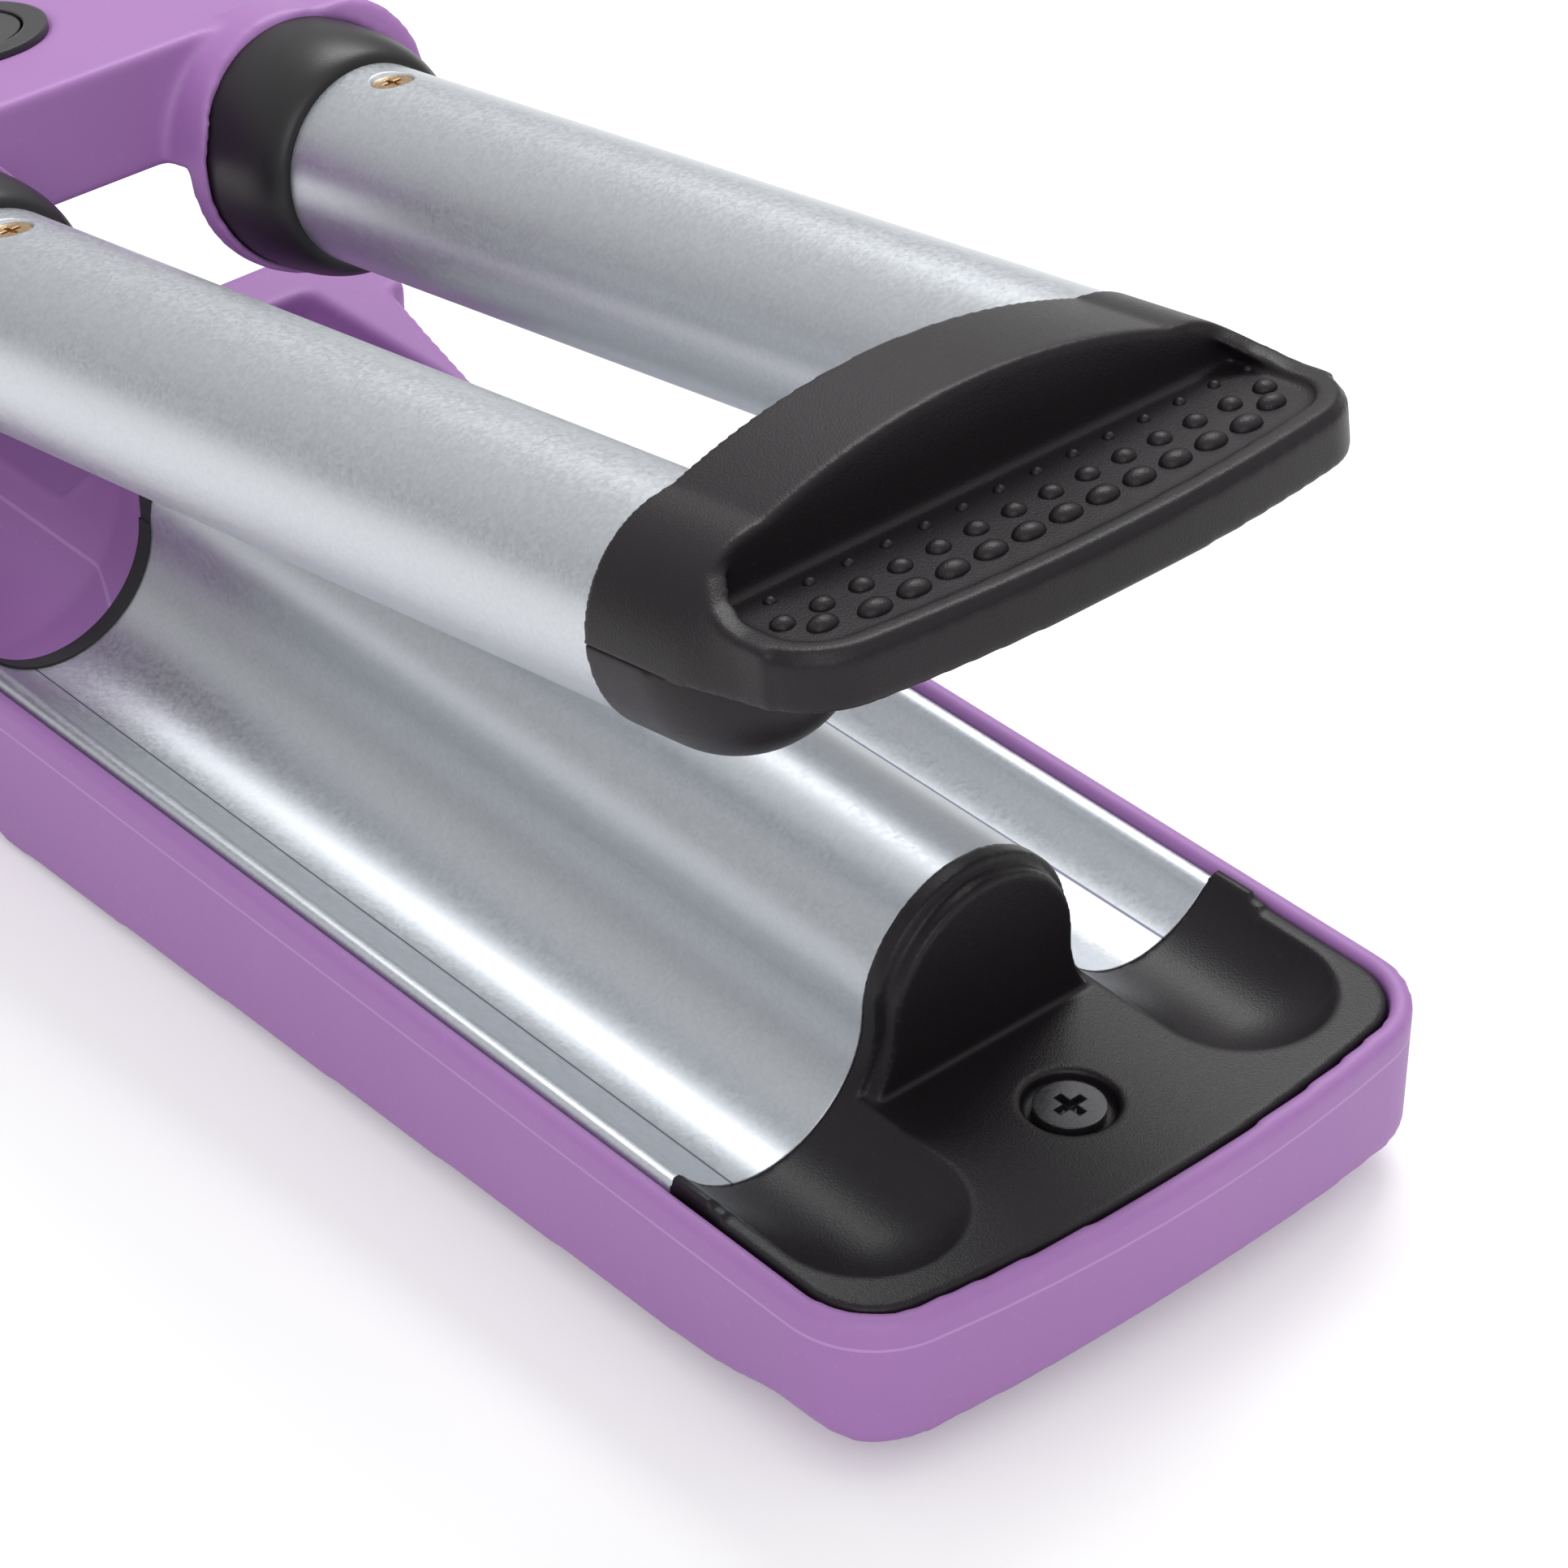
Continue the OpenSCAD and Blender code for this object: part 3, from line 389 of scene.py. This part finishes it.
def stripOutline(strip, station):
    along, lift = station
    under = (along - strip["bend"]) * strip["slope"]
    low = under + lift
    inside, outside = strip["side"] - strip["wall"], strip["side"]
    return [(inside, under + strip["top"]), (inside, low), (outside - strip["edge"], low),
            (outside, low + strip["edge"]), (outside, under + strip["top"])]


# block at each rear corner of the end plate, its inner side cut to the groove: station and top
cornerBlocks = {
    "stations": [(245.05, 17.0), (249.3, 17.0), (249.5, 16.55), (250.8, 16.5)],
    "outer": 30.7,
    "foot": 14.9,
    "grooveRadius": 10.6,
    "steps": 5,
}


def blockOutline(blocks, station):
    top = station[1]
    outline = [(blocks["outer"], blocks["foot"]), (blocks["outer"], top)]
    for step in range(blocks["steps"] + 1):
        height = top - (top - blocks["foot"]) * step / blocks["steps"]
        drop = hingeZ - height
        outline.append((barrelSide + math.sqrt(blocks["grooveRadius"] ** 2 - drop ** 2), height))
    return outline


# blend on each side of the tip, from the sleeve's round side into the ledge's straight one: station and top
capBlend = {
    "stations": [(249.0, 8.6), (250.6, 7.6), (252.2, 6.5), (254.2, 5.8), (256.4, 5.4), (259.0, 5.3)],
    "start": 250.0,
    "end": 259.0,
    "sleeveRadius": 9.8,
    "ledgeSide": 29.6,
    "low": 0.5,
    "wall": 2.2,
    "steps": 10,
}


def blendOutline(blend, station):
    along, top = station
    share = between(along, blend["start"], blend["end"])
    share = share * share * (3 - 2 * share)
    outer = []
    for step in range(blend["steps"] + 1):
        height = blend["low"] + (top - blend["low"]) * step / blend["steps"]
        bulge = barrelSide + math.sqrt(blend["sleeveRadius"] ** 2 - height ** 2)
        outer.append((bulge + (blend["ledgeSide"] - bulge) * share, height))
    return outer + [(reach - blend["wall"], height) for reach, height in reversed(outer)]


# how much of the wear a point takes: each span runs from kept to worn, measured from its place
wearSpans = {
    "barrelFront": (239.4, 0.4, 2.2),
    "capSplit": (0.5, 0.3, 1.8),
    "ledgeBack": (250.1, 0, 2),
    "blockSide": (25.9, -0.6, 0),
    "blockEnd": (250.2, 0, -0.8),
}


def spanShare(value, name):
    place, start, end = wearSpans[name]
    return between(value, place + start, place + end)


def capCrisp(spot):
    # the sleeve keeps its edge on the barrel and at the parting line
    return spanShare(spot.x, "barrelFront") * max(spanShare(spot.z, "capSplit"), spanShare(spot.x, "ledgeBack"))


def blockCrisp(spot):
    # the corner blocks keep their edges
    return 1 - spanShare(abs(spot.y), "blockSide") * spanShare(spot.x, "blockEnd")


# the moulded shapes: each hard-edged solid is skinned anew and worn down until its edges are round
plugSkin = {"place": upperPlace, "voxel": 0.25, "passes": 5, "keep": 0.6,
            "finish": "blackPlastic", "body": "upper_jaw", "slot": "black_shell"}
mouldedPieces = {
    "lowerShell": {"from": ["lower_housing"], "place": lowerPlace, "voxel": 0.5, "passes": 6, "keep": 0.35,
                   "extra": (footStrip, stripOutline),
                   "finish": "purpleTray", "body": "lower_jaw", "slot": "purple_shell"},
    "upperShell": {"from": ["upper_housing"], "place": upperPlace, "voxel": 0.45, "passes": 8, "keep": 0.45,
                   "finish": "purplePlastic", "body": "upper_jaw", "slot": "purple_shell"},
    "coolTip": {"from": ["tip_cap"], "place": upperPlace, "voxel": 0.25, "passes": 22, "keep": 0.6,
                "crisp": capCrisp, "extra": (capBlend, blendOutline),
                "finish": "blackPlastic", "body": "upper_jaw", "slot": "black_shell"},
    "endPlateSkin": {"from": ["end_plate"], "place": lowerPlace, "voxel": 0.25, "passes": 9, "keep": 0.6,
                     "crisp": blockCrisp, "extra": (cornerBlocks, blockOutline),
                     "finish": "blackPlastic", "body": "lower_jaw", "slot": "black_shell"},
    "leftPlugSkin": {"from": ["left_end_plug"], **plugSkin},
    "rightPlugSkin": {"from": ["right_end_plug"], **plugSkin},
}
wearFactor = 0.5


def mouldedSkin(name, settings):
    source = newObject("source", mergedCopy(settings["from"], settings["place"]))
    if "extra" in settings:
        work = bmesh.new()
        work.from_mesh(source.data)
        addOnBothSides(work, *settings["extra"])
        work.to_mesh(source.data)
        work.free()
    skin = source.modifiers.new("skin", "REMESH")
    skin.mode = "VOXEL"
    skin.voxel_size = settings["voxel"]
    skin.use_smooth_shade = True
    if "crisp" in settings:
        source.data = evaluatedMesh(source, name)
        source.modifiers.remove(skin)
        group = source.vertex_groups.new(name="wear")
        for vertex in source.data.vertices:
            group.add([vertex.index], settings["crisp"](vertex.co), "REPLACE")
    wear = source.modifiers.new("wear", "SMOOTH")
    if "crisp" in settings:
        wear.vertex_group = "wear"
    wear.factor = wearFactor
    wear.iterations = settings["passes"]
    thin = source.modifiers.new("thin", "DECIMATE")
    thin.ratio = settings["keep"]
    mesh = evaluatedMesh(source, name)
    bpy.data.objects.remove(source)
    mesh.transform(settings["place"])
    mesh.materials.clear()
    mesh.materials.append(materials[settings["finish"]])
    mesh.polygons.foreach_set("use_smooth", [True] * len(mesh.polygons))
    piece = newObject(name, mesh)
    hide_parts(*settings["from"])
    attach(piece, settings["body"])
    print("moulded", name, len(mesh.polygons))


for name, settings in mouldedPieces.items():
    mouldedSkin(name, settings)
print("moulded pieces made")


# collar: straight where the yoke holds it, then one soft curve down to the barrel; its bore is out of sight
softCollar = {
    "start": 133.2,
    "straight": 137.4,
    "end": 144.35,
    "outer": 11.8,
    "inner": 9.62,
    "bore": 8.62,
    "steps": 14,
    "sides": 96,
    "crease": 35,
}


def makeCollar(name, side, collar):
    profile = [(collar["start"], collar["bore"]), (collar["start"], collar["outer"])]
    for step in range(collar["steps"] + 1):
        turn = math.pi / 2 * step / collar["steps"]
        profile.append((collar["straight"] + (collar["end"] - collar["straight"]) * math.sin(turn),
                        collar["inner"] + (collar["outer"] - collar["inner"]) * math.cos(turn)))
    profile.append((collar["end"], collar["bore"]))
    work = bmesh.new()
    rings = []
    for index in range(collar["sides"]):
        turn = 2 * math.pi * index / collar["sides"]
        rings.append([work.verts.new((along, side * barrelSide + reach * math.cos(turn), reach * math.sin(turn)))
                      for along, reach in profile])
    for near, far in zip(rings, rings[1:] + rings[:1]):
        for index in range(len(profile)):
            after = (index + 1) % len(profile)
            work.faces.new((near[index], near[after], far[after], far[index]))
    bmesh.ops.recalc_face_normals(work, faces=work.faces)
    shadeSmooth(work, collar["crease"])
    work.transform(upperPlace)
    mesh = meshFrom(work, name)
    mesh.materials.append(materials["blackCollar"])
    piece = newObject(name, mesh)
    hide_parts("left_collar" if side > 0 else "right_collar")
    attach(piece, "upper_jaw")


makeCollar("leftCollarSkin", 1, softCollar)
makeCollar("rightCollarSkin", -1, softCollar)
print("collars made")


# the wave plate's outer edges are rolled over: they are the long edges at one height, near both sides
plateLip = {
    "height": 16.1,
    "reach": 0.1,
    "inner": 28.9,
    "outer": 31.0,
    "length": 60,
    "roll": 0.72,
    "steps": 5,
    "flat": 0.6,
    "crease": 28,
}


def isLipEdge(edge, lip):
    middle = (edge.verts[0].co + edge.verts[1].co) / 2
    level = abs(middle.z - lip["height"]) < lip["reach"]
    return level and lip["inner"] < abs(middle.y) < lip["outer"] and edge.calc_length() > lip["length"]


def makeWaveSkin(lip):
    work = bmesh.new()
    work.from_mesh(mergedCopy(["wave_plate"], lowerPlace))
    bmesh.ops.dissolve_limit(work, angle_limit=math.radians(lip["flat"]), verts=work.verts, edges=work.edges)
    rolled = [edge for edge in work.edges if isLipEdge(edge, lip)]
    bmesh.ops.bevel(work, geom=rolled, offset=lip["roll"], segments=lip["steps"], profile=0.5, affect="EDGES",
                    clamp_overlap=True)
    print("lip edges rolled", len(rolled))
    bmesh.ops.triangulate(work, faces=work.faces)
    shadeSmooth(work, lip["crease"])
    work.transform(lowerPlace)
    mesh = meshFrom(work, "waveSkin")
    mesh.materials.append(materials["waveCoat"])
    piece = newObject("waveSkin", mesh)
    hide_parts("wave_plate")
    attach(piece, "lower_jaw")


makeWaveSkin(plateLip)
print("wave plate made")


# raised line where the arch's face meets the field of the end plate
archFoot = {"x": 246.95, "half": 10.6, "z": 16.22, "radius": 0.20, "sides": 12}


def makeArchFoot(line):
    work = bmesh.new()
    turn = Matrix.Translation((line["x"], 0, line["z"])) @ Matrix.Rotation(math.pi / 2, 4, "X")
    bmesh.ops.create_cone(work, cap_ends=True, segments=line["sides"], radius1=line["radius"],
                          radius2=line["radius"], depth=2 * line["half"], matrix=lowerPlace @ turn)
    mesh = meshFrom(work, "archFoot")
    mesh.materials.append(materials["blackPlastic"])
    piece = newObject("archFoot", mesh)
    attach(piece, "lower_jaw")


makeArchFoot(archFoot)
print("arch foot made")


# a Geometry Nodes tree, built in the order in which its nodes are asked for
class Recipe:
    def __init__(self, name):
        self.tree = bpy.data.node_groups.new(name, "GeometryNodeTree")
        self.enter = self.tree.nodes.new("NodeGroupInput")
        self.leave = self.tree.nodes.new("NodeGroupOutput")
        self.tree.interface.new_socket("Geometry", in_out="OUTPUT", socket_type="NodeSocketGeometry")

    def entry(self, name, kind, value):
        socket = self.tree.interface.new_socket(name, in_out="INPUT", socket_type=kind)
        socket.default_value = value
        return self.enter.outputs[name]

    def node(self, kind, values):
        made = self.tree.nodes.new(kind)
        for slot, value in values.items():
            if isinstance(value, bpy.types.NodeSocket):
                self.tree.links.new(value, made.inputs[slot])
            else:
                made.inputs[slot].default_value = value
        return made.outputs[0]

    def finish(self, geometry, material):
        solid = self.node("GeometryNodeRealizeInstances", {0: geometry})
        painted = self.node("GeometryNodeSetMaterial", {"Geometry": solid, "Material": material})
        self.tree.links.new(painted, self.leave.inputs[0])


def runRecipe(name, recipe, values, place):
    holder = newObject("holder", bpy.data.meshes.new("holder"))
    modifier = holder.modifiers.new("recipe", "NODES")
    modifier.node_group = recipe.tree
    for item in recipe.tree.interface.items_tree:
        if item.in_out == "INPUT" and item.name in values:
            modifier[item.identifier] = values[item.name]
    mesh = evaluatedMesh(holder, name)
    bpy.data.objects.remove(holder)
    mesh.transform(place)
    return newObject(name, mesh)


# grip bumps on the tip's ledge: rows of small, middle and large ones, from the back to the front,
# and one more at each end
gripBumps = {
    "floor": 4.75,
    "pitch": 3.84,
    "rows": [
        {"count": 15, "front": 252.3, "radius": (0.55, 0.55, 0.50)},
        {"count": 14, "front": 255.9, "radius": (0.98, 1.05, 0.75)},
        {"count": 11, "front": 259.5, "radius": (1.15, 1.50, 0.90)},
    ],
    "ends": {"front": 258.3, "side": 23.2, "radius": (1.05, 1.35, 0.85)},
    "ball": {"Segments": 20, "Rings": 12, "Radius": 1.0},
}


def bumpRow(name, values):
    recipe = Recipe(name)
    count = recipe.entry("Count", "NodeSocketInt", 1)
    start = recipe.entry("Start", "NodeSocketVector", (0, 0, 0))
    step = recipe.entry("Step", "NodeSocketVector", (0, 1, 0))
    size = recipe.entry("Size", "NodeSocketVector", (1, 1, 1))
    line = recipe.node("GeometryNodeMeshLine", {"Count": count, "Start Location": start, "Offset": step})
    ball = recipe.node("GeometryNodeMeshUVSphere", gripBumps["ball"])
    ball = recipe.node("GeometryNodeSetShadeSmooth", {"Geometry": ball})
    spread = recipe.node("GeometryNodeInstanceOnPoints", {"Points": line, "Instance": ball, "Scale": size})
    recipe.finish(spread, materials["blackPlastic"])
    piece = runRecipe(name, recipe, values, upperPlace)
    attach(piece, "upper_jaw")


def makeBumps(bumps):
    for index, row in enumerate(bumps["rows"]):
        half = (row["count"] - 1) * bumps["pitch"] / 2
        bumpRow(f"gripBumps{index + 1}", {"Count": row["count"], "Start": (row["front"], -half, bumps["floor"]),
                                          "Step": (0, bumps["pitch"], 0), "Size": row["radius"]})
    ends = bumps["ends"]
    bumpRow("gripBumps4", {"Count": 2, "Start": (ends["front"], -ends["side"], bumps["floor"]),
                           "Step": (0, 2 * ends["side"], 0), "Size": ends["radius"]})


makeBumps(gripBumps)
print("grip bumps made")


studio = {
    "floorHalf": 3.0,
    "floorTone": 0.86,
    "floorRough": 0.95,
    "floorLift": 0.17,
    "worldTop": 0.88,
    "worldSide": 0.36,
    "worldReach": 0.8,
    "lights": {
        "keyLight": {"place": (-0.25, 0.55, 0.95), "aim": (0.18, 0, 0.02), "size": (0.7, 0.45), "power": 7.5},
        "fillLight": {"place": (0.95, -0.75, 0.80), "aim": (0.18, 0, 0.02), "size": (0.8, 0.8), "power": 4.5},
    },
}


def makeFloor(settings):
    half = settings["floorHalf"]
    corners = [(-half, -half, 0), (half, -half, 0), (half, half, 0), (-half, half, 0)]
    mesh = bpy.data.meshes.new("floor")
    mesh.from_pydata(corners, [], [(0, 1, 2, 3)])
    floor = newObject("floor", mesh)
    finish = Finish("floorPaper")
    tone = settings["floorTone"]
    finish.set("Base Color", (tone, tone, tone))
    finish.set("Roughness", settings["floorRough"])
    finish.set("Specular IOR Level", 0.0)
    # seen by the eye or in a reflection, the paper is lifted to white; as a light source it is plain
    path = finish.tree.nodes.new("ShaderNodeLightPath")
    seen = Wire(finish, path.outputs["Is Camera Ray"]).highest(Wire(finish, path.outputs["Is Glossy Ray"]))
    seen = seen.highest(Wire(finish, path.outputs["Is Transmission Ray"]))
    glow = finish.node("ShaderNodeEmission", None, {"Color": (1.0, 1.0, 1.0), "Strength": settings["floorLift"]})
    both = finish.tree.nodes.new("ShaderNodeAddShader")
    pick = finish.tree.nodes.new("ShaderNodeMixShader")
    links = finish.tree.links
    links.new(finish.main.outputs[0], both.inputs[0])
    links.new(glow.socket, both.inputs[1])
    links.new(seen.socket, pick.inputs[0])
    links.new(finish.main.outputs[0], pick.inputs[1])
    links.new(both.outputs[0], pick.inputs[2])
    links.new(pick.outputs[0], finish.tree.nodes["Material Output"].inputs[0])
    mesh.materials.append(finish.material)


def makeWorld(settings):
    world = bpy.data.worlds.new("world")
    bpy.context.scene.world = world
    world.use_nodes = True
    tree = world.node_tree
    split = tree.nodes.new("ShaderNodeSeparateXYZ")
    tree.links.new(tree.nodes.new("ShaderNodeTexCoord").outputs["Generated"], split.inputs[0])
    reach = tree.nodes.new("ShaderNodeMapRange")
    tree.links.new(split.outputs["Z"], reach.inputs["Value"])
    reach.inputs["From Min"].default_value = 0.0
    reach.inputs["From Max"].default_value = settings["worldReach"]
    reach.inputs["To Min"].default_value = settings["worldSide"]
    reach.inputs["To Max"].default_value = settings["worldTop"]
    # the eye sees plain white beyond the floor
    white = tree.nodes.new("ShaderNodeMath")
    white.operation = "MAXIMUM"
    tree.links.new(reach.outputs[0], white.inputs[0])
    tree.links.new(tree.nodes.new("ShaderNodeLightPath").outputs["Is Camera Ray"], white.inputs[1])
    tree.links.new(white.outputs[0], tree.nodes["Background"].inputs["Strength"])
    tree.nodes["Background"].inputs["Color"].default_value = (1, 1, 1, 1)


def makeLights(settings):
    for name, lamp in settings["lights"].items():
        data = bpy.data.lights.new(name, "AREA")
        data.shape = "RECTANGLE"
        data.size, data.size_y = lamp["size"]
        data.energy = lamp["power"]
        light = newObject(name, data)
        aim = Vector(lamp["aim"]) - Vector(lamp["place"])
        light.matrix_world = Matrix.Translation(lamp["place"]) @ aim.to_track_quat("-Z", "Y").to_matrix().to_4x4()


makeFloor(studio)
makeWorld(studio)
makeLights(studio)
bpy.context.scene.view_settings.view_transform = "Standard"
print("studio lit")
